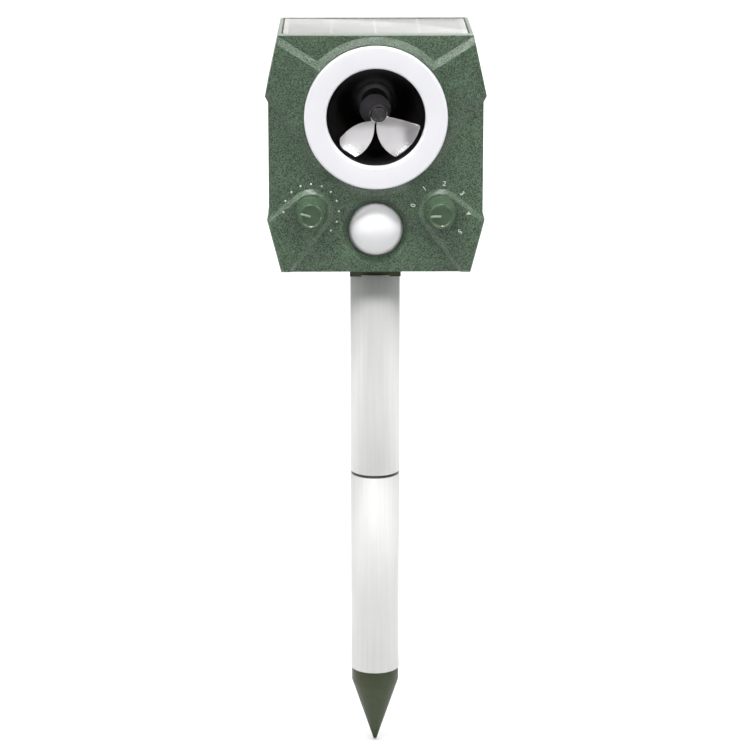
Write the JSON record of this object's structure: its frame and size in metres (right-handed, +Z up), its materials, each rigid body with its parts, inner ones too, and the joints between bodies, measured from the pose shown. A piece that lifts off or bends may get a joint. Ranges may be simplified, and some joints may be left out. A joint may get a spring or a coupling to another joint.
{
  "type": "solar ultrasonic pest repeller on ground stake",
  "caption": "Boxy green garden repeller with round horn in a white light ring, domed motion sensor, dial knobs and roof solar panel, on a two-piece metal stake with a pointed foot.",
  "frame": {"origin": "tip of the ground spike, on the stake's axis", "axes": "+Z up the stake, -Y out of the front face with the horn, +X to the right as seen from the front"},
  "size_m": [0.1074, 0.0848, 0.3756],
  "materials": {
    "green_shell": "fine spark-eroded grain, dark green",
    "green_knob": "satin dark green",
    "green_stake": "satin dark green",
    "dial_paint": "pale printed marks",
    "aluminium_tube": "satin anodised",
    "black_plastic": "glossy black",
    "grey_plastic": "glossy dark grey",
    "white_diffuser": "translucent white",
    "white_lens": "milky white lens sheet",
    "polished_metal": "polished",
    "dark_metal": "blackened",
    "steel": "zinc plated",
    "nickel_contacts": "nickel plated",
    "black_rubber": "matt",
    "circuit_board": "green solder mask",
    "lamp": "clear-topped lamp",
    "component_black": "moulded",
    "shaft_steel": "turned",
    "driver_metal": "stamped can",
    "solar_cell": "dark blue-black cells",
    "clear_cover": "clear glossy plate",
    "battery_wrap": "plain coloured sleeve"
  },
  "bodies": {
    "ground_stake": {"spike": "green_stake", "lower_tube": "aluminium_tube"},
    "coupler": {"coupler": "black_plastic"},
    "upper_pole": {"upper_tube": "aluminium_tube"},
    "head": {"neck": "green_stake", "neck_screws": "steel", "front_cover": "green_shell", "rear_housing": "green_shell", "case_seal": "black_rubber", "case_screws": "steel", "light_ring": "white_diffuser", "led_board": "circuit_board", "leds": "lamp", "horn": "black_plastic", "horn_screws": "steel", "horn_driver": "driver_metal", "phase_plug": "grey_plastic", "sound_deflector": "polished_metal", "deflector_nut": "dark_metal", "pir_lens": "white_lens", "pir_sensor": "steel", "main_board": "circuit_board", "board_screws": "steel", "board_components": "component_black", "pot_left": "component_black", "pot_right": "component_black", "dial_dots": "dial_paint", "solar_board": "circuit_board", "solar_cells": "solar_cell", "solar_cover": "clear_cover", "solar_gasket": "black_rubber", "battery_tray": "black_plastic", "battery_cells": "battery_wrap", "battery_contacts": "nickel_contacts", "port_board": "circuit_board", "switch_body": "black_plastic", "usb_socket": "steel"},
    "knob_left": {"knob_left": "green_knob", "pot_shaft_left": "shaft_steel"},
    "knob_right": {"knob_right": "green_knob", "pot_shaft_right": "shaft_steel"},
    "switch_slider": {"switch_slider": "black_plastic"},
    "usb_cover": {"usb_cover": "black_rubber"},
    "battery_door": {"battery_door": "green_shell", "door_seal": "black_rubber", "door_screws": "steel"}
  },
  "joints": [
    {"name": "coupler_pull", "type": "slide", "parent": "ground_stake", "child": "coupler", "axis": [0, 0, 1], "range_m": [0, 0.03]},
    {"name": "pole_turn", "type": "hinge", "parent": "coupler", "child": "upper_pole", "pos_m": [0, 0, 0.148], "axis": [0, 0, 1], "continuous": true},
    {"name": "head_lift", "type": "slide", "parent": "upper_pole", "child": "head", "axis": [0, 0, 1], "range_m": [0, 0.03]},
    {"name": "left_knob_turn", "type": "hinge", "parent": "head", "child": "knob_left", "pos_m": [-0.0316, -0.0369, 0.2897], "axis": [0, 1, 0], "range_deg": [-16, 209]},
    {"name": "right_knob_turn", "type": "hinge", "parent": "head", "child": "knob_right", "pos_m": [0.0316, -0.0369, 0.2897], "axis": [0, 1, 0], "range_deg": [0, 225]},
    {"name": "switch_slide", "type": "slide", "parent": "head", "child": "switch_slider", "axis": [1, 0, 0], "range_m": [0, 0.004]},
    {"name": "usb_cover_hinge", "type": "hinge", "parent": "head", "child": "usb_cover", "pos_m": [0.015, 0.03447, 0.3469], "axis": [1, 0, 0], "range_deg": [0, 90]},
    {"name": "battery_door_pull", "type": "slide", "parent": "head", "child": "battery_door", "axis": [0, 1, 0], "range_m": [0, 0.03]}
  ]
}
